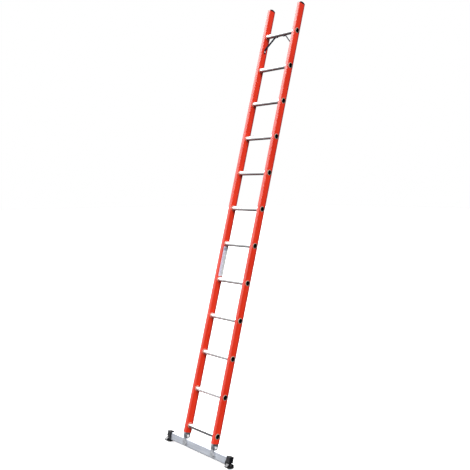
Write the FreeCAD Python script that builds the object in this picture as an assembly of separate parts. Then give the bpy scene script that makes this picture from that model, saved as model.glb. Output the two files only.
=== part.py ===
"""Single-section fibreglass leaning ladder with a stabiliser bar.

Everything is drawn in the ladder's own frame, in millimetres: origin on the axis of the lowest
rung midway between the rails, x along the rungs, y towards the wall, z up along the rails.
At the end each sub-part is leaned back to its working angle and set down with the line where
the two treads touch the ground on the origin.
"""

import FreeCAD, Part
import math
import os

from FreeCAD import Vector

# ---------------------------------------------------------------- driving dimensions
LEAN = 14.7                      # degrees from vertical, in use

RUNG_COUNT = 12
RUNG_PITCH = 280.0
RUNG_R = 17.5
RUNG_WALL = 2.0
RIB_COUNT = 20                   # grip ribs round each rung
RIB_H = 0.5
RIB_W = 1.4

WIDTH = 360.0                    # over the outer rail faces
RAIL_W = 28.0
RAIL_D = 58.0
RAIL_WALL = 3.0
RAIL_CORNER = 4.0
RAIL_INSIDE_CORNER = 1.5
RAIL_BELOW = 54.0                # rail below the lowest rung
RAIL_ABOVE = 216.0               # rail above the top rung

HOLE_GAP = 0.2                   # radial room of a rung in its holes and rings
FERRULE_R = 21.0
FERRULE_T = 2.0
LIP_R = 19.1                     # flared rung end
LIP_T = 1.6
LIP_DEPTH = 2.4                  # how far the mouth opens out
COLLAR_R = 20.0
COLLAR_T = 5.0
SLEEVE_R = 20.5

CAP_SKIRT = 4.0                  # height of the cap's straight rim
CAP_DOME = 11.0                  # rise of the dome above the rim
CAP_EDGE = 2.8
CAP_PLUG_H = 26.0
CAP_PLUG_WALL = 2.2

BRACE_W = 14.0
BRACE_T = 4.0
BRACE_BEND = 8.0
BRACE_REACH = 92.0               # from the rail face to the upper bend
BRACE_DROP = 88.0                # from the upper bend to the lower bend
BRACE_FOOT = 32.0

RIVET_R = 2.4
RIVET_HOLE_R = 2.5
CROSS_BOLT_R = 4.9
CROSS_HOLE_R = 5.2
PAD_BOLT_R = 3.9
PAD_HOLE_R = 4.25
SCREW_R = 2.4                    # foot screws
SCREW_HOLE_R = 2.6
WASHER_T = 1.6
PIVOT_WASHER_T = 1.2

BAR_H = 60.0
BAR_D = 20.0
BAR_WALL = 2.0
BAR_CORNER = 8.0
BAR_TOP = -96.0
BAR_Y = -4.0                     # middle of the bar
BAR_END = 348.0                  # half length

STEEL_T = 4.0                    # bracket sheet
SPIGOT_TOP = 40.0
SPIGOT_GAP = 0.2
CHEEK_BOTTOM = -95.5
JOGGLE_TOP = -72.0
JOGGLE_BOTTOM = -92.0
PLATE_BOTTOM = -151.0
PAD_R = 20.0
PAD_X = 26.0                     # pad bolt beside the rail's middle
PAD_Z = -131.0
PLATE_RIVET_Z = -117.0
CROSS_Y = 1.0
CROSS_Z = -79.0

FOOT_END = 380.0                 # outer face of the foot holder, from the middle
FOOT_L = 48.0
FOOT_D = 36.0
FOOT_TOP = -90.5
FOOT_CORNER = 8.0
FOOT_TOP_EDGE = 3.0
FOOT_STEP = -133.0               # underside of the holder beyond the bar
WRAP_L = 17.5
WRAP_BOTTOM = -160.0
TONGUE_L = 50.0
PIVOT_Z = -150.0
PIVOT_R = 4.0
PIVOT_GAP = 0.06
BUSH_R = 5.6
LUG_R = 10.0
LUG_NEAR = 358.0
LUG_FAR = 370.0
CHEEK_GAP = 0.5
SWING = 15.0                     # degrees each way
SHOE_NEAR = 350.5
SHOE_FAR = 378.0
SHOE_HALF = 33.0                 # half of the sole's width
SHOE_BASE = -163.0
TOE_H = 3.0
SHOE_TOP = 13.0                  # top of the shoe over the pivot's axis
SHOE_TOP_HALF = 9.0
SHOE_BROW = (-18.0, 9.0)         # top of the sloping front, from the pivot's axis
SHOE_BACK = (28.0, 7.0)          # top of the steep back, from the pivot's axis
SHOE_ROUND = 3.0
SHOE_EDGE = 1.5
TREAD_EDGE = -166.0
TREAD_LOW = -174.0
GROOVE_W = 2.4
GROOVE_STEP = 6.6                # degrees round the sole between grooves
PEG_R = 3.0
PEG_H = 3.0

LABEL_Y = (-17.0, 27.0)
LABEL_Z = (1144.0, 1376.0)
LABEL_T = 0.4

# ---------------------------------------------------------------- worked out from them
HALF = WIDTH / 2
INNER = HALF - RAIL_W            # inner rail face
RAIL_X = HALF - RAIL_W / 2       # middle of a rail
CAVITY = RAIL_W / 2 - RAIL_WALL  # half of a rail's inside width
TOP_RUNG_Z = (RUNG_COUNT - 1) * RUNG_PITCH
RAIL_TOP = TOP_RUNG_Z + RAIL_ABOVE
FRONT = -RAIL_D / 2
BACK = RAIL_D / 2
BAR_MID_Z = BAR_TOP - BAR_H / 2
BAR_FRONT = BAR_Y - BAR_D / 2
BAR_BACK = BAR_Y + BAR_D / 2
PLATE_FRONT = BAR_FRONT - STEEL_T
TREAD_SAG = TREAD_EDGE - TREAD_LOW
TREAD_R = (SHOE_HALF ** 2 + TREAD_SAG ** 2) / (2 * TREAD_SAG)
X_AXIS = Vector(1, 0, 0)
Y_AXIS = Vector(0, 1, 0)
Z_AXIS = Vector(0, 0, 1)


# ---------------------------------------------------------------- drawing helpers
def block(x0, x1, y0, y1, z0, z1):
    return Part.makeBox(x1 - x0, y1 - y0, z1 - z0, Vector(x0, y0, z0))


def rod(radius, start, end):
    """Round bar from one point to another."""
    run = end - start
    return Part.makeCylinder(radius, run.Length, start, run)


def rod_x(radius, x0, x1, y, z):
    return rod(radius, Vector(x0, y, z), Vector(x1, y, z))


def rod_y(radius, y0, y1, x, z):
    return rod(radius, Vector(x, y0, z), Vector(x, y1, z))


def ring_x(outer, inner, x0, x1, y, z):
    return rod_x(outer, x0, x1, y, z).cut(rod_x(inner, x0 - 1, x1 + 1, y, z))


def hexagon(across_flats, height, centre, direction):
    """Six-sided prism for bolt heads and nuts, standing on centre along direction."""
    radius = across_flats / math.sqrt(3)
    corners = [
        Vector(radius * math.cos(math.radians(60 * i)), radius * math.sin(math.radians(60 * i)), 0)
        for i in range(6)
    ]
    prism = Part.Face(Part.makePolygon(corners + corners[:1])).extrude(Vector(0, 0, height))
    crown = Part.makeCone(radius * 1.35, radius * 0.93, height)
    turn = FreeCAD.Rotation(Z_AXIS, direction)
    shape = prism.common(crown)
    shape.Placement = FreeCAD.Placement(centre, turn)
    return shape


def section_z(x, y, width, depth, corner, z0, z1):
    """Upright bar of rounded rectangular section about (x, y)."""
    bar = block(x - width / 2, x + width / 2, y - depth / 2, y + depth / 2, z0, z1)
    return bar.makeFillet(corner, edges_along(bar, Z_AXIS))


def section_x(x0, x1, y, z, depth, height, corner):
    """Lying bar of rounded rectangular section about (y, z)."""
    bar = block(x0, x1, y - depth / 2, y + depth / 2, z - height / 2, z + height / 2)
    return bar.makeFillet(corner, edges_along(bar, X_AXIS))


def edges_along(shape, axis):
    """Straight edges parallel to an axis."""
    found = []
    for edge in shape.Edges:
        run = edge.Vertexes[-1].Point - edge.Vertexes[0].Point
        if run.Length > 1e-6 and abs(run.normalize().dot(axis)) > 0.999:
            found.append(edge)
    return found


def edges_at(shape, axis_index, value):
    """Edges that lie in the plane where the given coordinate has that value."""
    return [
        e for e in shape.Edges
        if all(abs(v.Point[axis_index] - value) < 1e-4 for v in e.Vertexes)
        and abs(e.CenterOfMass[axis_index] - value) < 1e-4
    ]


def line(a, b):
    return Part.LineSegment(a, b).toShape()


def arc(a, b, c):
    return Part.Arc(a, b, c).toShape()


def fuse(shapes):
    whole = shapes[0].multiFuse(shapes[1:])
    return whole.removeSplitter()


def bent_strip(points, thickness, radius, depth):
    """Strip of sheet that follows points in the x-z plane, with round bends, centred on y = 0."""
    path = [Vector(x, 0, z) for x, z in points]
    sides = {1: [], -1: []}
    for side in sides:
        normal_of = [
            (b - a).normalize().cross(Y_AXIS) * (side * thickness / 2)
            for a, b in zip(path, path[1:])
        ]
        start = path[0] + normal_of[0]
        for i in range(1, len(path) - 1):
            before = (path[i] - path[i - 1]).normalize()
            after = (path[i + 1] - path[i]).normalize()
            turn = before.getAngle(after)
            reach = radius * math.tan(turn / 2)
            inward = (after - before).normalize()
            centre = path[i] + inward * (radius / math.cos(turn / 2))
            arc_start = path[i] - before * reach + normal_of[i - 1]
            arc_end = path[i] + after * reach + normal_of[i]
            arc_r = (arc_start - centre).Length
            sides[side].append(line(start, arc_start))
            sides[side].append(arc(arc_start, centre - inward * arc_r, arc_end))
            start = arc_end
        sides[side].append(line(start, path[-1] + normal_of[-1]))
    ends = [
        line(sides[s][i].Vertexes[i].Point, sides[-s][i].Vertexes[i].Point)
        for s, i in ((1, 0), (-1, -1))
    ]
    wire = Part.Wire(Part.__sortEdges__(sides[1] + sides[-1] + ends))
    strip = Part.Face(wire).extrude(Vector(0, depth, 0))
    strip.translate(Vector(0, -depth / 2, 0))
    return strip


def dome_rivet(radius, centre, direction, grip):
    """Blind rivet: domed head on centre, shank along direction, bulb on the far side."""
    head_r = radius * 2
    dome = Part.makeSphere(head_r * 1.25).common(
        Part.makeCylinder(head_r, head_r, Vector(0, 0, -head_r * 1.25), Z_AXIS)
    )
    dome.translate(Vector(0, 0, head_r * 0.75))
    dome = dome.common(Part.makeCylinder(head_r * 2, head_r, Vector(0, 0, -head_r), Z_AXIS))
    shank = Part.makeCylinder(radius, grip + 1)
    bulb = Part.makeCylinder(radius * 1.5, radius * 1.6, Vector(0, 0, grip))
    rivet = fuse([dome, shank, bulb])
    rivet.Placement = FreeCAD.Placement(centre, FreeCAD.Rotation(Z_AXIS, direction))
    return rivet


def rivet_drill(centre, direction, depth):
    """Cylinder that drills a rivet's hole from just before centre to that depth past it."""
    return rod(RIVET_HOLE_R, centre - direction * 2, centre + direction * depth)


def mirrored(shape):
    return shape.mirror(Vector(0, 0, 0), X_AXIS)


def group(shapes):
    return Part.makeCompound(shapes)


# ---------------------------------------------------------------- rails, rungs and rings
def rung_heights():
    return [i * RUNG_PITCH for i in range(RUNG_COUNT)]


def rail(side):
    """Pultruded box with a round hole through both side walls at every rung."""
    x = side * RAIL_X
    inner_w = RAIL_W - 2 * RAIL_WALL
    inner_d = RAIL_D - 2 * RAIL_WALL
    outer = section_z(x, 0, RAIL_W, RAIL_D, RAIL_CORNER, -RAIL_BELOW, RAIL_TOP)
    inner = section_z(
        x, 0, inner_w, inner_d, RAIL_INSIDE_CORNER, -RAIL_BELOW - 1, RAIL_TOP + 1
    )
    box = outer.cut(inner)
    holes = [
        rod_x(RUNG_R + HOLE_GAP, x - RAIL_W, x + RAIL_W, 0, z)
        for z in rung_heights()
    ]
    rivet_hole = rivet_drill(*rail_rivet_place(), BRACE_T + RAIL_WALL + 2)
    holes.append(rivet_hole if side > 0 else mirrored(rivet_hole))
    return box.cut(group(holes))


def rung():
    """Ribbed tube through both rails; its ends are flared over the outer ferrules."""
    end = HALF + FERRULE_T + LIP_T
    tube = rod_x(RUNG_R, -end, end, 0, 0)
    rib_end = INNER - COLLAR_T - 1
    ribs = []
    for i in range(RIB_COUNT):
        rib = block(-rib_end, rib_end, -RIB_W / 2, RIB_W / 2, RUNG_R - 1, RUNG_R + RIB_H)
        rib.rotate(Vector(0, 0, 0), X_AXIS, 360.0 * (i + 0.5) / RIB_COUNT)
        ribs.append(rib)
    lips = []
    for side in (-1, 1):
        x0, x1 = sorted((side * (end - LIP_T), side * end))
        lip = rod_x(LIP_R, x0, x1, 0, 0)
        lips.append(lip.makeFillet(LIP_T * 0.45, edges_at(lip, 0, side * end)))
    solid = fuse([tube] + ribs + lips)
    bore_r = RUNG_R - RUNG_WALL
    mouth = Part.makeCone(bore_r, bore_r + 1.4, LIP_DEPTH, Vector(end - LIP_DEPTH, 0, 0), X_AXIS)
    bore = rod_x(bore_r, -end - 1, end + 1, 0, 0)
    return solid.cut(group([bore, mouth, mirrored(mouth)]))


def top_rung():
    """The highest rung, drilled underneath for the braces' rivets."""
    shape = rung()
    shape.translate(Vector(0, 0, TOP_RUNG_Z))
    hole = rivet_drill(*rung_rivet_place(), BRACE_T + RUNG_WALL + RIB_H + 2)
    return shape.cut(group([hole, mirrored(hole)]))


def rung_ring(side, outer, x_near, length, rounded, height):
    """Ring round a rung from x_near outwards; its rounded face is the one away from the rail."""
    x0, x1 = sorted((side * x_near, side * (x_near + length)))
    body = rod_x(outer, x0, x1, 0, height)
    if rounded:
        seen = side * (x_near + length) if x_near >= HALF else side * x_near
        body = body.makeFillet(rounded, edges_at(body, 0, seen))
    return body.cut(rod_x(RUNG_R + HOLE_GAP, x0 - 1, x1 + 1, 0, height))


def ferrules(side):
    return group([rung_ring(side, FERRULE_R, HALF, FERRULE_T, 1.2, z) for z in rung_heights()])


def collars(side):
    near = INNER - COLLAR_T
    return group([rung_ring(side, COLLAR_R, near, COLLAR_T, 2.8, z) for z in rung_heights()])


def sleeves(side):
    """Spacers inside a rail, so that flaring the rungs doesn't crush it; the lowest is shorter,
    because it stands between the bracket's cheeks."""
    made = []
    for z in rung_heights():
        half = CAVITY - 0.1 if z else CAVITY - SPIGOT_GAP - STEEL_T - 0.1
        made.append(rung_ring(side, SLEEVE_R, RAIL_X - half, 2 * half, 0, z))
    return group(made)


def rail_cap(side):
    """Domed cap on the rail's top with a hollow plug inside the rail."""
    x = side * RAIL_X
    rim_z = RAIL_TOP + CAP_SKIRT
    dome_r = (BACK ** 2 + CAP_DOME ** 2) / (2 * CAP_DOME)
    rim = section_z(x, 0, RAIL_W, RAIL_D, RAIL_CORNER, RAIL_TOP, rim_z + CAP_DOME + 1)
    rim = rim.common(rod_x(dome_r, x - RAIL_W, x + RAIL_W, 0, rim_z + CAP_DOME - dome_r))
    rim = rim.makeFillet(CAP_EDGE, [e for e in rim.Edges if e.CenterOfMass.z > rim_z - 1])
    plug_w = 2 * CAVITY - 0.4
    plug_d = RAIL_D - 2 * RAIL_WALL - 0.4
    wall = 2 * CAP_PLUG_WALL
    plug = section_z(
        x, 0, plug_w, plug_d, RAIL_INSIDE_CORNER, RAIL_TOP - CAP_PLUG_H, RAIL_TOP + 1
    )
    hollow = section_z(
        x, 0, plug_w - wall, plug_d - wall, 1.0, RAIL_TOP - CAP_PLUG_H - 1, RAIL_TOP + 3
    )
    return fuse([rim, plug]).cut(hollow)


# ---------------------------------------------------------------- knee braces at the top rung
def brace_points():
    """Middle line of the right brace, from under the rung out and down to the rail."""
    upper_z = TOP_RUNG_Z - RUNG_R - RIB_H - BRACE_T / 2 - 0.1
    rail_x = INNER - BRACE_T / 2
    bend_x = INNER - BRACE_REACH
    lower_z = upper_z - BRACE_DROP
    return [
        (bend_x - BRACE_FOOT, upper_z),
        (bend_x, upper_z),
        (rail_x, lower_z),
        (rail_x, lower_z - BRACE_FOOT),
    ]


def top_brace():
    points = brace_points()
    strip = bent_strip(points, BRACE_T, BRACE_BEND, BRACE_W)
    for z_end in (points[0], points[-1]):
        strip = round_strip_end(strip, z_end)
    for centre, direction in (rung_rivet_place(), rail_rivet_place()):
        strip = strip.cut(rivet_drill(centre, direction, 2 * BRACE_T))
    return strip


def round_strip_end(strip, point):
    """Rounds the two corners of the strip's end at that point of its middle line."""
    edges = []
    for edge in strip.Edges:
        near = edge.CenterOfMass - Vector(point[0], edge.CenterOfMass.y, point[1])
        short = abs(edge.Length - BRACE_T) < 1e-3
        if short and near.Length < 1e-3:
            edges.append(edge)
    return strip.makeFillet(BRACE_W * 0.3, edges)


def rung_rivet_place():
    """Centre under the brace's upper foot, and the direction into the rung."""
    x, z = brace_points()[0]
    return Vector(x + BRACE_FOOT * 0.45, 0, z - BRACE_T / 2), Z_AXIS


def rail_rivet_place():
    """Centre on the brace's lower foot, and the direction into the rail."""
    x, z = brace_points()[-1]
    return Vector(x - BRACE_T / 2, 0, z + BRACE_FOOT * 0.45), X_AXIS


def brace_rivets():
    made = []
    for (centre, direction), wall in (
        (rung_rivet_place(), RUNG_WALL + RIB_H + 0.6),
        (rail_rivet_place(), RAIL_WALL),
    ):
        made.append(dome_rivet(RIVET_R, centre, direction, BRACE_T + wall + 0.2))
    return group(made + [mirrored(r) for r in made])


# ---------------------------------------------------------------- bracket under each rail
def bracket(x):
    """Bent steel bracket: a channel inside the rail and a front plate that widens over the bar."""
    half = CAVITY - SPIGOT_GAP
    web_front = FRONT + RAIL_WALL + SPIGOT_GAP
    web_back = web_front + STEEL_T
    cheek_back = BACK - RAIL_WALL - SPIGOT_GAP
    cheek_line = [
        Vector(0, web_front, SPIGOT_TOP),
        Vector(0, web_front, JOGGLE_TOP),
        Vector(0, PLATE_FRONT, JOGGLE_BOTTOM),
        Vector(0, PLATE_FRONT, CHEEK_BOTTOM),
        Vector(0, cheek_back, CHEEK_BOTTOM),
        Vector(0, cheek_back, SPIGOT_TOP),
    ]
    cheek = Part.Face(Part.makePolygon(cheek_line + cheek_line[:1]))
    cheeks = []
    for x0 in (-half, half - STEEL_T):
        side = cheek.extrude(Vector(STEEL_T, 0, 0))
        corners = [
            e for e in edges_along(side, X_AXIS)
            if abs(e.CenterOfMass.y - cheek_back) < 1e-4
        ]
        side = side.makeFillet(7.0, corners)
        side.translate(Vector(x0, 0, 0))
        cheeks.append(side)
    web_line = [
        Vector(-half, web_front, SPIGOT_TOP),
        Vector(-half, web_front, JOGGLE_TOP),
        Vector(-half, PLATE_FRONT, JOGGLE_BOTTOM),
        Vector(-half, PLATE_FRONT, JOGGLE_BOTTOM - 8),
        Vector(-half, BAR_FRONT, JOGGLE_BOTTOM - 8),
        Vector(-half, BAR_FRONT, JOGGLE_BOTTOM),
        Vector(-half, web_back, JOGGLE_TOP),
        Vector(-half, web_back, SPIGOT_TOP),
    ]
    web = Part.Face(Part.makePolygon(web_line + web_line[:1])).extrude(Vector(2 * half, 0, 0))
    body = fuse(cheeks + [web, front_plate(half)])
    in_rail = [
        e for e in edges_along(body, Z_AXIS)
        if abs(abs(e.CenterOfMass.x) - half) < 1e-4 and e.CenterOfMass.z > JOGGLE_TOP
    ]
    body = body.makeFillet(STEEL_T * 0.45, in_rail)
    rung_hole = rod_x(RUNG_R + HOLE_GAP, -RAIL_W, RAIL_W, 0, 0)
    cross_hole = rod_x(CROSS_HOLE_R, -RAIL_W, RAIL_W, CROSS_Y, CROSS_Z)
    pad_hole = rod_y(PAD_HOLE_R, PLATE_FRONT - 1, BAR_FRONT + 1, PAD_X, PAD_Z)
    rivet_hole = rod_y(RIVET_HOLE_R, PLATE_FRONT - 1, BAR_FRONT + 1, 0, PLATE_RIVET_Z)
    body = body.cut(group([rung_hole, cross_hole, pad_hole, rivet_hole]))
    body.translate(Vector(x, 0, 0))
    return body


def front_plate(half):
    """Plate on the bar's front: straight on one side, swept out to a round pad on the other."""
    y = PLATE_FRONT
    lean = math.radians(45)
    pad_top = Vector(PAD_X + PAD_R * math.cos(lean), y, PAD_Z + PAD_R * math.sin(lean))
    top = JOGGLE_BOTTOM
    corner = 6.0
    outline = [
        line(Vector(half, y, top), Vector(-half, y, top)),
        line(Vector(-half, y, top), Vector(-half, y, PLATE_BOTTOM + corner)),
        arc(
            Vector(-half, y, PLATE_BOTTOM + corner),
            Vector(-half + corner * (1 - math.cos(lean)), y, PLATE_BOTTOM + corner * (1 - math.sin(lean))),
            Vector(-half + corner, y, PLATE_BOTTOM),
        ),
        line(Vector(-half + corner, y, PLATE_BOTTOM), Vector(PAD_X, y, PLATE_BOTTOM)),
        arc(Vector(PAD_X, y, PLATE_BOTTOM), Vector(PAD_X + PAD_R, y, PAD_Z), pad_top),
        arc(pad_top, Vector(half + 9, y, top - 13), Vector(half, y, top)),
    ]
    return Part.Face(Part.Wire(Part.__sortEdges__(outline))).extrude(Vector(0, STEEL_T, 0))


def bracket_fixings(x):
    """Cross bolt, its washers, nut and spacer for one bracket."""
    half = CAVITY - SPIGOT_GAP
    head = x + half + WASHER_T
    tail = x - half - WASHER_T
    bolt = fuse([
        rod_x(CROSS_BOLT_R, tail - 10, head, CROSS_Y, CROSS_Z),
        hexagon(17.0, 6.4, Vector(head, CROSS_Y, CROSS_Z), X_AXIS),
    ])
    nut = hexagon(17.0, 8.0, Vector(tail, CROSS_Y, CROSS_Z), -X_AXIS)
    nut = nut.cut(rod_x(CROSS_BOLT_R, tail - 11, tail + 1, CROSS_Y, CROSS_Z))
    washers = [
        ring_x(11.0, CROSS_HOLE_R, x + half, head, CROSS_Y, CROSS_Z),
        ring_x(11.0, CROSS_HOLE_R, tail, x - half, CROSS_Y, CROSS_Z),
    ]
    inside = half - STEEL_T
    spacer = ring_x(8.0, CROSS_HOLE_R, x - inside, x + inside, CROSS_Y, CROSS_Z)
    return {"bolts": [bolt], "nuts": [nut], "washers": washers, "spacers": [spacer]}


# ---------------------------------------------------------------- stabiliser bar
def bar_holes():
    """Places drilled through the bar's front: pad bolts and plate rivets, as (x, z, radius)."""
    holes = []
    for side in (-1, 1):
        holes.append((side * RAIL_X + PAD_X, PAD_Z, PAD_HOLE_R))
        holes.append((side * RAIL_X, PLATE_RIVET_Z, RIVET_HOLE_R))
    return holes


def foot_screw_places():
    """Screws through the bar's back into each foot's tongue, as x on the right side."""
    return [BAR_END - TONGUE_L * 0.8, BAR_END - TONGUE_L * 0.42]


def stabiliser_bar():
    outer = section_x(-BAR_END, BAR_END, BAR_Y, BAR_MID_Z, BAR_D, BAR_H, BAR_CORNER)
    inner = section_x(
        -BAR_END - 1, BAR_END + 1, BAR_Y, BAR_MID_Z,
        BAR_D - 2 * BAR_WALL, BAR_H - 2 * BAR_WALL, BAR_CORNER - BAR_WALL,
    )
    tube = outer.cut(inner)
    tools = []
    for x, z, radius in bar_holes():
        far = BAR_BACK + 1 if radius == PAD_HOLE_R else BAR_Y
        tools.append(rod_y(radius, BAR_FRONT - 1, far, x, z))
    for x in foot_screw_places():
        for side in (-1, 1):
            tools.append(rod_y(SCREW_HOLE_R, BAR_Y, BAR_BACK + 1, side * x, BAR_MID_Z))
    return tube.cut(group(tools))


def bar_fixings(x):
    """Pad bolt through plate and bar, with washers, nut and crush sleeve."""
    centre = x + PAD_X
    head = PLATE_FRONT - WASHER_T
    tail = BAR_BACK + WASHER_T
    bolt = fuse([
        rod_y(PAD_BOLT_R, head, tail + 9, centre, PAD_Z),
        hexagon(13.0, 5.3, Vector(centre, head, PAD_Z), -Y_AXIS),
    ])
    nut = hexagon(13.0, 6.5, Vector(centre, tail, PAD_Z), Y_AXIS)
    nut = nut.cut(rod_y(PAD_BOLT_R, tail - 1, tail + 10, centre, PAD_Z))
    washers = []
    for y0, y1 in ((head, PLATE_FRONT), (BAR_BACK, tail)):
        disc = rod_y(8.5, y0, y1, centre, PAD_Z)
        washers.append(disc.cut(rod_y(PAD_HOLE_R, y0 - 1, y1 + 1, centre, PAD_Z)))
    y0, y1 = BAR_FRONT + BAR_WALL, BAR_BACK - BAR_WALL
    sleeve = rod_y(6.5, y0, y1, centre, PAD_Z)
    sleeve = sleeve.cut(rod_y(PAD_HOLE_R, y0 - 1, y1 + 1, centre, PAD_Z))
    rivet = dome_rivet(
        RIVET_R, Vector(x, PLATE_FRONT, PLATE_RIVET_Z), Y_AXIS, STEEL_T + BAR_WALL + 0.2
    )
    return {
        "bolts": [bolt], "nuts": [nut], "washers": washers, "sleeves": [sleeve], "rivets": [rivet],
    }


# ---------------------------------------------------------------- feet, drawn on the right
def foot_holder():
    """Moulded end of the bar: a collar round the bar, a tongue inside it and a lug for the shoe."""
    y0, y1 = BAR_Y - FOOT_D / 2, BAR_Y + FOOT_D / 2
    near = FOOT_END - FOOT_L
    upper = block(near, FOOT_END, y0, y1, FOOT_STEP, FOOT_TOP)
    upper = upper.makeFillet(FOOT_CORNER, edges_along(upper, Z_AXIS))
    upper = upper.makeFillet(FOOT_TOP_EDGE, edges_at(upper, 2, FOOT_TOP))
    wrap = block(near, near + WRAP_L, y0, y1, WRAP_BOTTOM, FOOT_STEP + 8)
    lower_edges = [
        e for e in edges_along(wrap, X_AXIS) if abs(e.CenterOfMass.z - WRAP_BOTTOM) < 1e-4
    ]
    wrap = wrap.makeFillet(5.0, lower_edges)
    pocket = section_x(
        near - 1, BAR_END, BAR_Y, BAR_MID_Z, BAR_D + 0.3, BAR_H + 0.3, BAR_CORNER + 0.15
    )
    tongue = section_x(
        BAR_END - TONGUE_L, BAR_END, BAR_Y, BAR_MID_Z,
        BAR_D - 2 * BAR_WALL - 0.4, BAR_H - 2 * BAR_WALL - 0.4, BAR_CORNER - BAR_WALL - 0.2,
    )
    screw_holes = [
        rod_y(SCREW_R, BAR_Y - 4, BAR_BACK, x, BAR_MID_Z) for x in foot_screw_places()
    ]
    body = fuse([upper, wrap]).cut(pocket)
    body = fuse([body, tongue]).cut(group(screw_holes))
    lug = fuse([
        block(LUG_NEAR, LUG_FAR, BAR_Y - LUG_R, BAR_Y + LUG_R, PIVOT_Z, FOOT_STEP + 1),
        rod_x(LUG_R, LUG_NEAR, LUG_FAR, BAR_Y, PIVOT_Z),
    ])
    bush_seat = rod_x(BUSH_R, LUG_NEAR - 1, LUG_FAR + 1, BAR_Y, PIVOT_Z)
    return fuse([body, lug]).cut(bush_seat)


def foot_bush():
    return ring_x(BUSH_R, PIVOT_R + PIVOT_GAP, LUG_NEAR, LUG_FAR, BAR_Y, PIVOT_Z)


def foot_screws():
    """Pan-head screws through the bar's back into the tongue."""
    made = []
    for x in foot_screw_places():
        head = rod_y(4.8, BAR_BACK, BAR_BACK + 3.0, x, BAR_MID_Z)
        head = head.makeFillet(1.4, edges_at(head, 1, BAR_BACK + 3.0))
        made.append(fuse([rod_y(SCREW_R, BAR_Y - 4, BAR_BACK + 1, x, BAR_MID_Z), head]))
    return made


def shoe_outline():
    """Side view of the shoe from the pivot's axis: sloping front, flat top, steep back, low toes."""
    base = SHOE_BASE - PIVOT_Z
    corners = [
        (-SHOE_HALF, base), (-SHOE_HALF, base + TOE_H),
        SHOE_BROW, (-SHOE_TOP_HALF, SHOE_TOP), (SHOE_TOP_HALF, SHOE_TOP), SHOE_BACK,
        (SHOE_HALF, base + TOE_H), (SHOE_HALF, base),
    ]
    points = [Vector(SHOE_NEAR, BAR_Y + y, PIVOT_Z + z) for y, z in corners]
    return Part.makePolygon(points + points[:1])


def peg_places():
    """Pegs of the tread in the shoe's base, as (x, y)."""
    x = (SHOE_NEAR + SHOE_FAR) / 2
    return [(x, BAR_Y + dy) for dy in (-22.0, 22.0)]


def lug_pocket():
    """Room for the lug in the shoe: round below the pivot, opening out above it for the swing."""
    x0, x1 = LUG_NEAR - CHEEK_GAP, LUG_FAR + CHEEK_GAP
    radius = LUG_R + 1
    rise = SHOE_TOP + 2
    spread = radius + rise * math.tan(math.radians(SWING + 3))
    corners = [
        Vector(x0, BAR_Y - radius, PIVOT_Z),
        Vector(x0, BAR_Y + radius, PIVOT_Z),
        Vector(x0, BAR_Y + spread, PIVOT_Z + rise),
        Vector(x0, BAR_Y - spread, PIVOT_Z + rise),
    ]
    throat = Part.Face(Part.makePolygon(corners + corners[:1])).extrude(Vector(x1 - x0, 0, 0))
    return throat.fuse(rod_x(radius, x0, x1, BAR_Y, PIVOT_Z))


def foot_shoe():
    """Flared shoe that swivels on the lug, with a seat for the thin nut in its inner cheek."""
    body = Part.Face(shoe_outline()).extrude(Vector(SHOE_FAR - SHOE_NEAR, 0, 0))
    bends = [e for e in edges_along(body, X_AXIS) if e.CenterOfMass.z > PIVOT_Z]
    body = body.makeFillet(SHOE_ROUND, bends)
    upper = [
        e for e in edges_at(body, 0, SHOE_FAR) + edges_at(body, 0, SHOE_NEAR)
        if e.CenterOfMass.z > SHOE_BASE + TOE_H / 2 + 0.1
    ]
    body = body.makeFillet(SHOE_EDGE, upper)
    tools = [lug_pocket()]
    tools.append(rod_x(PIVOT_R + 0.1, SHOE_NEAR - 1, SHOE_FAR + 1, BAR_Y, PIVOT_Z))
    tools.append(hexagon(13.3, 4.3, Vector(SHOE_NEAR - 0.1, BAR_Y, PIVOT_Z), X_AXIS))
    for x, y in peg_places():
        tools.append(Part.makeCylinder(PEG_R + 0.1, PEG_H + 0.2, Vector(x, y, SHOE_BASE - 0.1)))
    return body.cut(group(tools))


def foot_tread():
    """Rubber sole, curved from front to back and grooved across."""
    x0, x1 = SHOE_NEAR, SHOE_FAR
    left, right = BAR_Y - SHOE_HALF, BAR_Y + SHOE_HALF
    outline = Part.Wire([
        line(Vector(x0, left, SHOE_BASE), Vector(x0, right, SHOE_BASE)),
        line(Vector(x0, right, SHOE_BASE), Vector(x0, right, TREAD_EDGE)),
        arc(
            Vector(x0, right, TREAD_EDGE), Vector(x0, BAR_Y, TREAD_LOW),
            Vector(x0, left, TREAD_EDGE),
        ),
        line(Vector(x0, left, TREAD_EDGE), Vector(x0, left, SHOE_BASE)),
    ])
    pad = Part.Face(outline).extrude(Vector(x1 - x0, 0, 0))
    arc_centre_z = TREAD_LOW + TREAD_R
    grooves = []
    for i in range(-3, 3):
        groove = block(
            x0 - 1, x1 + 1, BAR_Y - GROOVE_W / 2, BAR_Y + GROOVE_W / 2, TREAD_LOW - 3, TREAD_LOW + 2
        )
        groove.rotate(Vector(0, BAR_Y, arc_centre_z), X_AXIS, (i + 0.5) * GROOVE_STEP)
        grooves.append(groove)
    pad = pad.cut(group(grooves))
    pegs = [
        Part.makeCylinder(PEG_R, PEG_H + 0.5, Vector(x, y, SHOE_BASE - 0.5)) for x, y in peg_places()
    ]
    return fuse([pad] + pegs)


def pivot_bolt():
    head_x = SHOE_FAR + PIVOT_WASHER_T
    return fuse([
        rod_x(PIVOT_R, SHOE_NEAR + 0.2, head_x, BAR_Y, PIVOT_Z),
        hexagon(13.0, 4.6, Vector(head_x, BAR_Y, PIVOT_Z), X_AXIS),
    ])


def pivot_washer():
    return ring_x(8.5, PIVOT_R + 0.1, SHOE_FAR, SHOE_FAR + PIVOT_WASHER_T, BAR_Y, PIVOT_Z)


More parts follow.
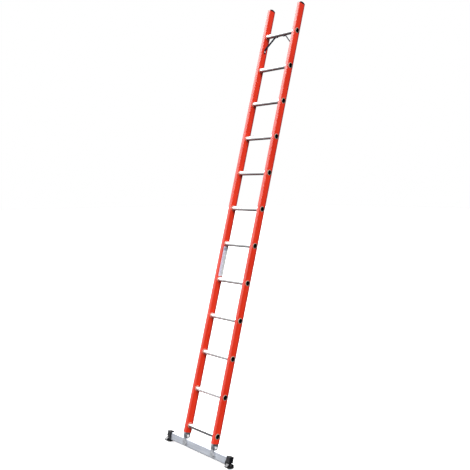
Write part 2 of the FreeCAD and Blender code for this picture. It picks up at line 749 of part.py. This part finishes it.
def pivot_nut():
    nut = hexagon(13.0, 4.0, Vector(SHOE_NEAR + 0.1, BAR_Y, PIVOT_Z), X_AXIS)
    return nut.cut(rod_x(PIVOT_R, SHOE_NEAR - 1, SHOE_NEAR + 6, BAR_Y, PIVOT_Z))


def rail_label():
    """Sticker on the inner face of the left rail."""
    plate = block(-INNER, -INNER + LABEL_T, *LABEL_Y, *LABEL_Z)
    return plate.makeFillet(3.0, edges_along(plate, X_AXIS))


# ---------------------------------------------------------------- the assembly
def merged(parts):
    """Joins the lists of two dictionaries of fixings, key by key."""
    return {key: [s for p in parts for s in p[key]] for key in parts[0]}


def sub_parts():
    nodes = {"rail_left": rail(-1), "rail_right": rail(1)}
    one_rung = rung()
    for number, z in enumerate(rung_heights(), start=1):
        copy = one_rung.copy()
        copy.translate(Vector(0, 0, z))
        nodes["rung_%02d" % number] = copy
    nodes["rung_%02d" % RUNG_COUNT] = top_rung()
    for name, side in (("left", -1), ("right", 1)):
        nodes["rung_ferrules_" + name] = ferrules(side)
        nodes["rung_collars_" + name] = collars(side)
        nodes["rung_sleeves_" + name] = sleeves(side)
        nodes["rail_cap_" + name] = rail_cap(side)
        nodes["bracket_" + name] = bracket(side * RAIL_X)
    cross = merged([bracket_fixings(side * RAIL_X) for side in (-1, 1)])
    for kind, shapes in cross.items():
        nodes["bracket_cross_" + kind] = group(shapes)
    fixings = merged([bar_fixings(side * RAIL_X) for side in (-1, 1)])
    for kind, shapes in fixings.items():
        nodes["bar_" + kind] = group(shapes)
    nodes["stabiliser_bar"] = stabiliser_bar()
    nodes["top_brace_right"] = top_brace()
    nodes["top_brace_left"] = mirrored(nodes["top_brace_right"])
    nodes["top_brace_rivets"] = brace_rivets()
    nodes["rail_label"] = rail_label()
    screws = foot_screws()
    nodes["foot_screws"] = group(screws + [mirrored(s) for s in screws])
    pieces = {
        "foot_holder": foot_holder(),
        "foot_bush": foot_bush(),
        "foot_shoe": foot_shoe(),
        "foot_tread": foot_tread(),
        "pivot_bolt": pivot_bolt(),
        "pivot_washer": pivot_washer(),
        "pivot_nut": pivot_nut(),
    }
    for name, shape in pieces.items():
        nodes[name + "_right"] = shape
        nodes[name + "_left"] = mirrored(shape)
    return nodes


def set_down(shape):
    """Leans a shape back to the working angle with the treads' contact line on the origin."""
    lean = math.radians(LEAN)
    centre_y, centre_z = BAR_Y, TREAD_LOW + TREAD_R
    row_y = centre_y * math.cos(lean) + centre_z * math.sin(lean)
    row_z = -centre_y * math.sin(lean) + centre_z * math.cos(lean)
    placed = shape.copy()
    placed.rotate(Vector(0, 0, 0), X_AXIS, -LEAN)
    placed.translate(Vector(0, -row_y, TREAD_R - row_z))
    return placed


os.makedirs("parts", exist_ok=True)
for node, shape in sub_parts().items():
    set_down(shape).exportStep("parts/" + node + ".step")
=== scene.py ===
import math

import bpy
from mathutils import Matrix, Vector

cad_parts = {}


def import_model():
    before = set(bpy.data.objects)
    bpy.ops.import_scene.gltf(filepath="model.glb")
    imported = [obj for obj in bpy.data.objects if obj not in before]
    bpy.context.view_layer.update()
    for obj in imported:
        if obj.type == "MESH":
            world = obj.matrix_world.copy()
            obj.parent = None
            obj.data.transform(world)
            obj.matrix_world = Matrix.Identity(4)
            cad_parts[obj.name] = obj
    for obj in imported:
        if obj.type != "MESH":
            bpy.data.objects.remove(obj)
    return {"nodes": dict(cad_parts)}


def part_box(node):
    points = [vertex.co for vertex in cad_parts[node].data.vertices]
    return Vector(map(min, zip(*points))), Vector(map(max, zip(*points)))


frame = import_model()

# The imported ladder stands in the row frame: x along the rungs, y towards the wall, z up, metres.
LEAN = math.radians(14.7)
RUNG_PITCH = 0.280
RUNG_R = 0.0175
RUNG_BORE = 0.0155
LIP_X = 0.1803                   # the rungs' flared ends start here, from the middle
RAIL_BACK = 0.029                # back face of a rail, behind the rung axes
SHADE_FROM_LOWEST = 0.28 * RUNG_R   # painted shade starts this far over the lowest rung's axis
SHADE_FROM_OTHERS = -0.60 * RUNG_R  # and this far over the other rungs' axes
DUST_TOP = 0.05                  # dust on the shoes reaches this high

# Studio. The glow of a direction depends on its height, then fades to the right and to the back.
GLOW_BY_HEIGHT = (
    (-1.0, 0.03), (-0.68, 0.03), (-0.55, 0.45), (-0.05, 0.65), (0.02, 0.75),
    (0.26, 2.0), (0.43, 3.4), (0.53, 9.0), (0.68, 6.0), (0.85, 2.0), (1.0, 1.2),
)
GLOW_PEAK = max(glow for _, glow in GLOW_BY_HEIGHT)
FADE_RIGHT = (-0.60, -0.15, 1.0, 0.14)      # x where it starts and ends, share before and after
FADE_BACK = (0.35, 0.62, 1.0, 0.32)         # the same by y
SIDE_LIGHT_FROM = (0.88, -0.25, 0.40)
SIDE_LIGHT_STRENGTH = 3.2
SIDE_LIGHT_SPREAD = math.radians(30.0)
FLOOR_HALF = 60.0
FLOOR_PLACE = (0.0, 0.0, -0.0005)           # just under the treads
CARD_PLACE = (-0.75, 0.10, -0.0004)
CARD_R = 0.75
CARD_CORNERS = 48

# Camera, fitted to the photograph's perspective.
CAMERA_PLACE = (4.167, -3.1615, 1.9355)
CAMERA_TURN = (math.radians(90.0 - 3.544), 0.0, math.radians(49.924))
CAMERA_LENS = 55.59              # mm
CAMERA_SENSOR = 36.0             # mm

NODES = frame["nodes"]
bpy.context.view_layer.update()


def ladder_point(place):
    """A point of the row frame in the ladder's own directions, with z along the rails."""
    return Matrix.Rotation(LEAN, 3, "X") @ place


def middle_of(node):
    low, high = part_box(node)
    return (Vector(low) + Vector(high)) / 2


RUNG_1 = ladder_point(middle_of("rung_01"))


# ---------------------------------------------------------------- node helpers
class Tree:
    """A material's node tree, with short calls for the nodes used here."""

    def __init__(self, name):
        self.material = bpy.data.materials.new(name)
        self.material.use_nodes = True
        self.nodes = self.material.node_tree.nodes
        self.links = self.material.node_tree.links
        self.shader = self.nodes["Principled BSDF"]

    def add(self, kind, **settings):
        node = self.nodes.new(kind)
        for key, value in settings.items():
            setattr(node, key, value)
        return node

    def feed(self, socket, value):
        """Links an output, or sets a number or colour, on an input socket."""
        if isinstance(value, bpy.types.NodeSocket):
            self.links.new(value, socket)
        elif isinstance(value, tuple) and len(value) == 3 and socket.type == "RGBA":
            socket.default_value = (*value, 1.0)
        else:
            socket.default_value = value

    def math(self, operation, a, b=0.5, c=0.5):
        node = self.add("ShaderNodeMath", operation=operation)
        for socket, value in zip(node.inputs, (a, b, c)):
            self.feed(socket, value)
        return node.outputs[0]

    def times(self, *factors):
        product = factors[0]
        for factor in factors[1:]:
            product = self.math("MULTIPLY", product, factor)
        return product

    def mix(self, factor, a, b):
        node = self.add("ShaderNodeMix", data_type="RGBA")
        self.feed(node.inputs["Factor"], factor)
        self.feed(node.inputs[6], a)
        self.feed(node.inputs[7], b)
        return node.outputs[2]

    def ramp(self, value, low, high, to_low=0.0, to_high=1.0):
        node = self.add("ShaderNodeMapRange", clamp=True)
        for socket, setting in zip(node.inputs, (value, low, high, to_low, to_high)):
            self.feed(socket, setting)
        return node.outputs[0]

    def band(self, value, low, high, soft):
        """One between low and high, zero outside, with soft edges inside the band."""
        return self.times(self.ramp(value, low, low + soft), self.ramp(value, high, high - soft))

    def mapped(self, vector, **settings):
        """A vector moved, turned or scaled by a mapping node."""
        node = self.add("ShaderNodeMapping")
        for key, value in settings.items():
            node.inputs[key].default_value = value
        self.links.new(vector, node.inputs["Vector"])
        return node.outputs[0]

    def split(self, vector):
        """The X, Y and Z outputs of a vector."""
        node = self.add("ShaderNodeSeparateXYZ")
        self.links.new(vector, node.inputs[0])
        return node.outputs

    def object_coords(self):
        return self.add("ShaderNodeTexCoord").outputs["Object"]

    def ladder_coords(self, scale=None):
        """Object coordinates turned so that z runs along the rails, and scaled if asked."""
        turned = self.mapped(self.object_coords(), Rotation=(LEAN, 0.0, 0.0))
        if scale is None:
            return turned
        return self.mapped(turned, Scale=scale)

    def along(self, axis):
        """Place along one of the ladder's own axes, from the middle of the lowest rung."""
        origin = {"X": 0.0, "Y": RUNG_1.y, "Z": RUNG_1.z}[axis]
        return self.math("SUBTRACT", self.split(self.ladder_coords())[axis], origin)

    def over_rung(self):
        """Height over the axis of the nearest rung, along the rails."""
        return self.math("WRAP", self.along("Z"), RUNG_PITCH / 2, -RUNG_PITCH / 2)

    def rung_radius(self):
        """Distance from the axis of the nearest rung."""
        up, back = self.over_rung(), self.along("Y")
        square = self.math("MULTIPLY_ADD", up, up, self.times(back, back))
        return self.math("SQRT", square)

    def noise(self, scale, detail=3.0, stretch=None, roughness=0.5):
        node = self.add("ShaderNodeTexNoise")
        self.links.new(self.ladder_coords(stretch), node.inputs["Vector"])
        node.inputs["Scale"].default_value = scale
        node.inputs["Detail"].default_value = detail
        node.inputs["Roughness"].default_value = roughness
        return node.outputs["Fac"]

    def cells(self, scale):
        node = self.add("ShaderNodeTexVoronoi")
        self.links.new(self.ladder_coords(), node.inputs["Vector"])
        node.inputs["Scale"].default_value = scale
        return node.outputs

    def bump(self, height, strength, distance, under=None):
        """Bumps the shader's surface, over another bump if one is given."""
        node = self.add("ShaderNodeBump")
        node.inputs["Strength"].default_value = strength
        node.inputs["Distance"].default_value = distance
        self.links.new(height, node.inputs["Height"])
        if under is not None:
            self.links.new(under, node.inputs["Normal"])
        self.links.new(node.outputs[0], self.shader.inputs["Normal"])
        return node.outputs[0]

    def surface(self, colour, roughness, metallic=0.0, **more):
        """Feeds the shader and gives the finished material."""
        self.feed(self.shader.inputs["Base Color"], colour)
        self.feed(self.shader.inputs["Roughness"], roughness)
        self.shader.inputs["Metallic"].default_value = metallic
        for key, value in more.items():
            self.feed(self.shader.inputs[key.replace("_", " ")], value)
        return self.material


# ---------------------------------------------------------------- materials
def red_fibreglass():
    """Pultruded red resin: glass rovings drawn along the rail just under a glossy skin, with
    painted shade darkening it towards the back edges."""
    t = Tree("red_fibreglass")
    drift = t.noise(9.0, 4.0, (1.0, 1.0, 0.35))
    rovings = t.noise(420.0, 3.0, (1.0, 1.0, 0.018), 0.6)
    veil = t.noise(650.0, 2.0, (1.0, 1.0, 0.30))
    colour = t.mix(t.ramp(drift, 0.3, 0.7), (0.640, 0.027, 0.008), (0.740, 0.040, 0.014))
    colour = t.mix(t.ramp(rovings, 0.42, 0.72, 0.0, 0.40), colour, (0.400, 0.010, 0.003))
    colour = t.mix(t.ramp(veil, 0.60, 0.78, 0.0, 0.08), colour, (0.860, 0.120, 0.060))
    # Painted shade: the rail's sides are darkened towards the back edge.
    depth = t.along("Y")
    back_edge_shade = t.ramp(depth, RAIL_BACK - 0.015, RAIL_BACK - 0.007, 0.0, 0.85)
    off_the_back = t.ramp(depth, RAIL_BACK - 0.0003, RAIL_BACK - 0.002, 0.2)
    colour = t.mix(t.times(back_edge_shade, off_the_back), colour, (0.230, 0.003, 0.010))
    skin = t.bump(rovings, 0.12, 0.0004)
    t.bump(veil, 0.08, 0.0003, skin)
    roughness = t.ramp(t.noise(70.0, 3.0, (1.0, 1.0, 0.1)), 0.3, 0.7, 0.26, 0.36)
    return t.surface(colour, roughness, Specular_IOR_Level=0.65)


def rung_aluminium():
    """Bright ribbed tube, rubbed in patches, with painted shade below, the lowest rung most of
    all, with a dull flared lip and painted shade in the bore."""
    t = Tree("rung_aluminium")
    lines = t.noise(900.0, 2.0, (0.012, 1.0, 1.0))
    rubbed = t.noise(26.0, 4.0)
    colour = t.mix(t.ramp(lines, 0.3, 0.7), (0.84, 0.85, 0.87), (0.95, 0.955, 0.96))
    colour = t.mix(t.ramp(rubbed, 0.55, 0.8, 0.0, 0.25), colour, (0.70, 0.71, 0.73))
    # Painted shade: the underside of each rung is darkened, from higher up on the lowest rung,
    # broken by streaks.
    shade_from = t.ramp(t.along("Z"), RUNG_PITCH / 4, RUNG_PITCH / 2, SHADE_FROM_LOWEST, SHADE_FROM_OTHERS)
    tarnish_and_shade = t.ramp(t.math("SUBTRACT", shade_from, t.over_rung()), 0.0, 0.12 * RUNG_R)
    shade_streaks = t.ramp(t.noise(300.0, 3.0, (0.05, 1.0, 1.0)), 0.3, 0.7, 0.75, 1.0)
    colour = t.mix(t.times(tarnish_and_shade, shade_streaks), colour, (0.16, 0.16, 0.17))
    lip = t.ramp(t.math("ABSOLUTE", t.along("X")), LIP_X, LIP_X + 0.0005)
    colour = t.mix(lip, colour, (0.36, 0.32, 0.27))
    # Painted shade: the tube's bore is painted near black.
    inside = t.ramp(t.rung_radius(), RUNG_BORE + 0.0004, RUNG_BORE + 0.0001)
    colour = t.mix(inside, colour, (0.012, 0.012, 0.013))
    t.bump(lines, 0.12, 0.0002)
    roughness = t.ramp(rubbed, 0.3, 0.75, 0.12, 0.19)
    roughness = t.math("MAXIMUM", roughness, t.times(lip, 0.5))
    roughness = t.math("MAXIMUM", roughness, t.times(inside, 0.9))
    return t.surface(colour, roughness, 1.0)


def bar_aluminium():
    """Mill-finish tube, bluish grey, with fine lines along it."""
    t = Tree("bar_aluminium")
    lines = t.noise(700.0, 3.0, (0.010, 1.0, 1.0), 0.65)
    broad = t.noise(110.0, 2.0, (0.012, 1.0, 1.0))
    bloom = t.noise(14.0, 4.0)
    colour = t.mix(t.ramp(lines, 0.3, 0.7), (0.41, 0.44, 0.50), (0.62, 0.65, 0.71))
    colour = t.mix(t.ramp(broad, 0.45, 0.7, 0.0, 0.45), colour, (0.35, 0.38, 0.44))
    colour = t.mix(t.ramp(bloom, 0.5, 0.8, 0.0, 0.30), colour, (0.78, 0.79, 0.82))
    t.bump(lines, 0.30, 0.0003)
    return t.surface(colour, t.ramp(bloom, 0.3, 0.7, 0.30, 0.46), 0.85)


def galvanised_steel(name, pale, dark):
    """Zinc-coated steel with spangle and duller patches."""
    t = Tree(name)
    grain = t.add("ShaderNodeSeparateColor")
    t.links.new(t.cells(160.0)["Color"], grain.inputs[0])
    shade, dullness = grain.outputs[0], grain.outputs[1]
    haze = t.noise(45.0, 4.0)
    colour = t.mix(t.ramp(shade, 0.1, 0.9), dark, pale)
    colour = t.mix(t.ramp(haze, 0.45, 0.75, 0.0, 0.35), colour, dark)
    t.bump(haze, 0.12, 0.0004)
    return t.surface(colour, t.ramp(dullness, 0.0, 1.0, 0.26, 0.40), 0.93)


def zinc_fixing(name, pale, dark):
    """Bright fastener with a fine grain and slight tarnish."""
    t = Tree(name)
    fine = t.noise(1400.0, 2.0)
    tarnish_and_shade = t.noise(160.0, 3.0)
    colour = t.mix(t.ramp(tarnish_and_shade, 0.35, 0.7), pale, dark)
    t.bump(fine, 0.15, 0.0001)
    return t.surface(colour, t.ramp(fine, 0.3, 0.7, 0.24, 0.38), 0.12)


def brace_steel():
    """Strip with a matt dark blue-black coating, rubbed through in small places."""
    t = Tree("brace_steel")
    haze = t.noise(60.0, 4.0)
    fine = t.noise(900.0, 2.0)
    rubbed = t.noise(170.0, 5.0, roughness=0.7)
    colour = t.mix(t.ramp(haze, 0.35, 0.7), (0.010, 0.014, 0.030), (0.024, 0.030, 0.052))
    colour = t.mix(t.ramp(rubbed, 0.66, 0.74, 0.0, 0.5), colour, (0.30, 0.32, 0.38))
    t.bump(fine, 0.12, 0.0002)
    return t.surface(colour, t.ramp(haze, 0.3, 0.7, 0.42, 0.55), Specular_IOR_Level=0.22)


def moulded_black(name, dust_top=None):
    """Black moulded plastic with spark-eroded grain, dusty near the ground if asked."""
    t = Tree(name)
    grain = t.noise(1500.0, 2.0)
    pits = t.cells(900.0)["Distance"]
    cloud = t.noise(38.0, 4.0)
    colour = t.mix(t.ramp(cloud, 0.35, 0.7), (0.003, 0.003, 0.005), (0.007, 0.008, 0.012))
    colour = t.mix(t.ramp(grain, 0.62, 0.80, 0.0, 0.3), colour, (0.024, 0.025, 0.031))
    if dust_top is not None:
        near_ground = t.ramp(t.split(t.object_coords())["Z"], dust_top, 0.0)
        dust = t.times(near_ground, t.ramp(t.noise(95.0, 5.0), 0.50, 0.80, 0.0, 0.35))
        colour = t.mix(dust, colour, (0.150, 0.145, 0.135))
    skin = t.bump(grain, 0.15, 0.0001)
    t.bump(pits, 0.10, 0.0001, skin)
    roughness = t.ramp(cloud, 0.3, 0.7, 0.15, 0.24)
    return t.surface(colour, roughness, Specular_IOR_Level=0.6)


def tread_rubber():
    """Black rubber, greyer where it is worn."""
    t = Tree("tread_rubber")
    grain = t.noise(1100.0, 3.0)
    worn = t.noise(120.0, 5.0, roughness=0.65)
    colour = t.mix(t.ramp(worn, 0.45, 0.75), (0.012, 0.012, 0.013), (0.070, 0.067, 0.062))
    t.bump(grain, 0.45, 0.0003)
    return t.surface(colour, t.ramp(worn, 0.3, 0.8, 0.62, 0.88), Specular_IOR_Level=0.35)


def pale_nylon(name):
    """Cream-brown moulded nylon, a little translucent."""
    t = Tree(name)
    cloud = t.noise(210.0, 4.0)
    grain = t.noise(1800.0, 2.0)
    colour = t.mix(t.ramp(cloud, 0.4, 0.75), (0.56, 0.51, 0.43), (0.42, 0.37, 0.29))
    t.bump(grain, 0.15, 0.0002)
    return t.surface(
        colour, t.ramp(cloud, 0.3, 0.7, 0.42, 0.58),
        Subsurface_Weight=0.12, Subsurface_Scale=0.002, Specular_IOR_Level=0.3,
    )


def label_spans():
    """Where the sloping label starts and ends across and along the rail, from its upright box."""
    low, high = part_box("rail_label")
    slope = math.tan(LEAN)
    span_y, span_z = high.y - low.y, high.z - low.z
    length = (span_z - span_y * slope) / (math.cos(LEAN) - math.sin(LEAN) * slope)
    width = (span_y - length * math.sin(LEAN)) / math.cos(LEAN)
    foot = ladder_point(Vector((low.x, low.y, low.z + width * math.sin(LEAN))))
    return (foot.y, foot.y + width), (foot.z, foot.z + length)


def label_marks(t, place):
    """Rows of small marks of uneven length."""
    bricks = t.add("ShaderNodeTexBrick", offset=0.37, squash=1.6, squash_frequency=3)
    t.links.new(t.mapped(place, Scale=(3.0, 26.0, 1.0)), bricks.inputs["Vector"])
    bricks.inputs["Color1"].default_value = (1.0, 1.0, 1.0, 1.0)
    bricks.inputs["Color2"].default_value = (0.0, 0.0, 0.0, 1.0)
    bricks.inputs["Mortar"].default_value = (1.0, 1.0, 1.0, 1.0)
    bricks.inputs["Mortar Size"].default_value = 0.16
    bricks.inputs["Brick Width"].default_value = 0.9
    bricks.inputs["Row Height"].default_value = 1.0
    return t.ramp(bricks.outputs["Color"], 0.45, 0.30)


def label_rings(t, place):
    waves = t.add("ShaderNodeTexWave", wave_type="RINGS", rings_direction="SPHERICAL")
    centred = t.mapped(place, Location=(-0.5, -0.60, 0.0), Scale=(1.0, 4.2, 1.0))
    t.links.new(centred, waves.inputs["Vector"])
    waves.inputs["Scale"].default_value = 0.9
    return t.ramp(waves.outputs["Fac"], 0.45, 0.6)


def label_film():
    """Pale printed film: a block at the head, rows of small marks, and rings at the foot."""
    t = Tree("label_film")
    across, along = label_spans()
    coords = t.split(t.ladder_coords())
    u = t.ramp(coords["Y"], *across)
    v = t.ramp(coords["Z"], *along)
    place = t.add("ShaderNodeCombineXYZ")
    t.links.new(u, place.inputs["X"])
    t.links.new(v, place.inputs["Y"])
    margins = t.band(u, 0.10, 0.90, 0.02)
    rows = t.band(v, 0.27, 0.84, 0.02)
    marks = t.times(label_marks(t, place.outputs[0]), margins, rows, 0.85)
    head = t.times(t.band(v, 0.86, 0.965, 0.01), margins, 0.8)
    foot = t.band(v, 0.04, 0.25, 0.01)
    rings = t.times(label_rings(t, place.outputs[0]), foot, margins, 0.6)
    colour = t.mix(t.ramp(u, 0.15, 0.75), (0.62, 0.56, 0.74), (0.50, 0.54, 0.51))
    colour = t.mix(t.ramp(t.noise(60.0, 4.0), 0.45, 0.65, 0.0, 0.7), colour, (0.74, 0.76, 0.84))
    colour = t.mix(t.ramp(t.noise(95.0, 2.0), 0.55, 0.70, 0.0, 0.5), colour, (0.36, 0.41, 0.41))
    colour = t.mix(marks, colour, (0.22, 0.24, 0.31))
    colour = t.mix(head, colour, (0.20, 0.24, 0.34))
    colour = t.mix(rings, colour, (0.38, 0.40, 0.47))
    t.bump(t.noise(500.0, 2.0), 0.05, 0.0002)
    return t.surface(colour, 0.32, Coat_Weight=0.3, Coat_Roughness=0.2)


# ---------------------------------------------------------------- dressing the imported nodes
def dress():
    """Gives each node the finish whose key is the longest one that its name starts with."""
    black = moulded_black("black_plastic")
    nylon = pale_nylon("ring_plastic")
    zinc = zinc_fixing("fixing_steel", (0.92, 0.92, 0.92), (0.72, 0.73, 0.76))
    muted = galvanised_steel("muted_steel", (0.58, 0.58, 0.60), (0.42, 0.42, 0.44))
    dark = galvanised_steel("dark_steel", (0.26, 0.25, 0.25), (0.16, 0.155, 0.155))
    finishes = {
        "rail_cap": black,
        "rail_label": label_film(),
        "rail": red_fibreglass(),
        "rung_ferrules": nylon,
        "rung_collars": nylon,
        "rung_sleeves": moulded_black("sleeve_plastic"),
        "rung": rung_aluminium(),
        "top_brace_rivets": zinc_fixing("rivet_aluminium", (0.86, 0.86, 0.87), (0.66, 0.67, 0.69)),
        "bar_rivets": muted,
        "top_brace": brace_steel(),
        "bracket_cross": zinc,
        "bracket_cross_washers": dark,
        "bracket": galvanised_steel("bracket_steel", (0.50, 0.52, 0.56), (0.35, 0.365, 0.395)),
        "stabiliser_bar": bar_aluminium(),
        "bar": muted,
        "foot_holder": black,
        "foot_shoe": moulded_black("black_plastic_low", DUST_TOP),
        "foot_bush": pale_nylon("bush_plastic"),
        "foot_tread": tread_rubber(),
        "foot_screws": zinc,
        "pivot": dark,
    }
    for name, node in NODES.items():
        key = max((k for k in finishes if name.startswith(k)), key=len)
        node.data.materials.clear()
        node.data.materials.append(finishes[key])


# ---------------------------------------------------------------- studio
def flat_shape(name, corners, place, material):
    """One flat polygon that diffuse rays don't see, so it throws no light on the ladder."""
    mesh = bpy.data.meshes.new(name)
    mesh.from_pydata([(x, y, 0.0) for x, y in corners], [], [tuple(range(len(corners)))])
    mesh.materials.append(material)
    obj = bpy.data.objects.new(name, mesh)
    obj.location = place
    obj.visible_diffuse = False
    bpy.context.scene.collection.objects.link(obj)
    return obj


def floor():
    """A plain pale floor, wide enough to reach the horizon. Its glow keeps the shadows faint."""
    material = Tree("studio_floor").surface(
        (0.93, 0.93, 0.93), 0.9, Emission_Color=(1.0, 1.0, 1.0), Emission_Strength=0.45,
    )
    corners = [(FLOOR_HALF * x, FLOOR_HALF * y) for x, y in ((-1, -1), (1, -1), (1, 1), (-1, 1))]
    obj = flat_shape("studio_floor", corners, FLOOR_PLACE, material)
    obj.visible_glossy = False


def grey_card():
    """Round card on the floor at the ladder's left that only shows in its reflections."""
    material = Tree("studio_card").surface((0.20, 0.20, 0.205), 0.9)
    turns = [2 * math.pi * i / CARD_CORNERS for i in range(CARD_CORNERS)]
    corners = [(CARD_R * math.cos(a), CARD_R * math.sin(a)) for a in turns]
    obj = flat_shape("studio_card", corners, CARD_PLACE, material)
    obj.visible_camera = False
    obj.visible_shadow = False


def world():
    """One broad soft light high at the climber's left, which fades to the right, to the back and
    towards the floor. The camera itself sees plain white."""
    scene = bpy.context.scene
    scene.world = bpy.data.worlds.new("studio")
    scene.world.use_nodes = True
    nodes, links = scene.world.node_tree.nodes, scene.world.node_tree.links
    direction = nodes.new("ShaderNodeTexCoord")
    split = nodes.new("ShaderNodeSeparateXYZ")
    links.new(direction.outputs["Generated"], split.inputs[0])
    height_share = nodes.new("ShaderNodeMapRange")
    links.new(split.outputs["Z"], height_share.inputs["Value"])
    height_share.inputs["From Min"].default_value = -1.0
    dome = nodes.new("ShaderNodeValToRGB")
    links.new(height_share.outputs[0], dome.inputs["Fac"])
    while len(dome.color_ramp.elements) < len(GLOW_BY_HEIGHT):
        dome.color_ramp.elements.new(0.5)
    for element, (height, glow) in zip(dome.color_ramp.elements, GLOW_BY_HEIGHT):
        element.position = (height + 1.0) / 2
        level = glow / GLOW_PEAK
        element.color = (level, level, level, 1.0)
    light = dome.outputs["Color"]
    for axis, limits in (("X", FADE_RIGHT), ("Y", FADE_BACK)):
        fade = nodes.new("ShaderNodeMapRange")
        fade.interpolation_type = "SMOOTHSTEP"
        links.new(split.outputs[axis], fade.inputs["Value"])
        for socket, setting in zip(fade.inputs[1:5], limits):
            socket.default_value = setting
        faded = nodes.new("ShaderNodeMath")
        faded.operation = "MULTIPLY"
        links.new(light, faded.inputs[0])
        links.new(fade.outputs[0], faded.inputs[1])
        light = faded.outputs[0]
    path = nodes.new("ShaderNodeLightPath")
    seen = nodes.new("ShaderNodeMix")
    links.new(path.outputs["Is Camera Ray"], seen.inputs["Factor"])
    links.new(light, seen.inputs[2])
    seen.inputs[3].default_value = 1.0 / GLOW_PEAK
    background = nodes["Background"]
    links.new(seen.outputs[0], background.inputs["Color"])
    background.inputs["Strength"].default_value = GLOW_PEAK


def side_light():
    """One broad, distant light from the climber's right."""
    light = bpy.data.lights.new("side_light", "SUN")
    light.energy = SIDE_LIGHT_STRENGTH
    light.angle = SIDE_LIGHT_SPREAD
    obj = bpy.data.objects.new("side_light", light)
    obj.rotation_euler = Vector(SIDE_LIGHT_FROM).to_track_quat("Z", "Y").to_euler()
    bpy.context.scene.collection.objects.link(obj)


def camera():
    """The photograph's view: from the climber's right, a little above the ladder's middle."""
    data = bpy.data.cameras.new("camera")
    data.lens = CAMERA_LENS
    data.sensor_width = CAMERA_SENSOR
    obj = bpy.data.objects.new("camera", data)
    obj.location = CAMERA_PLACE
    obj.rotation_euler = CAMERA_TURN
    bpy.context.scene.collection.objects.link(obj)
    bpy.context.scene.camera = obj


dress()
floor()
grey_card()
world()
side_light()
camera()
bpy.context.scene.view_settings.view_transform = "Standard"
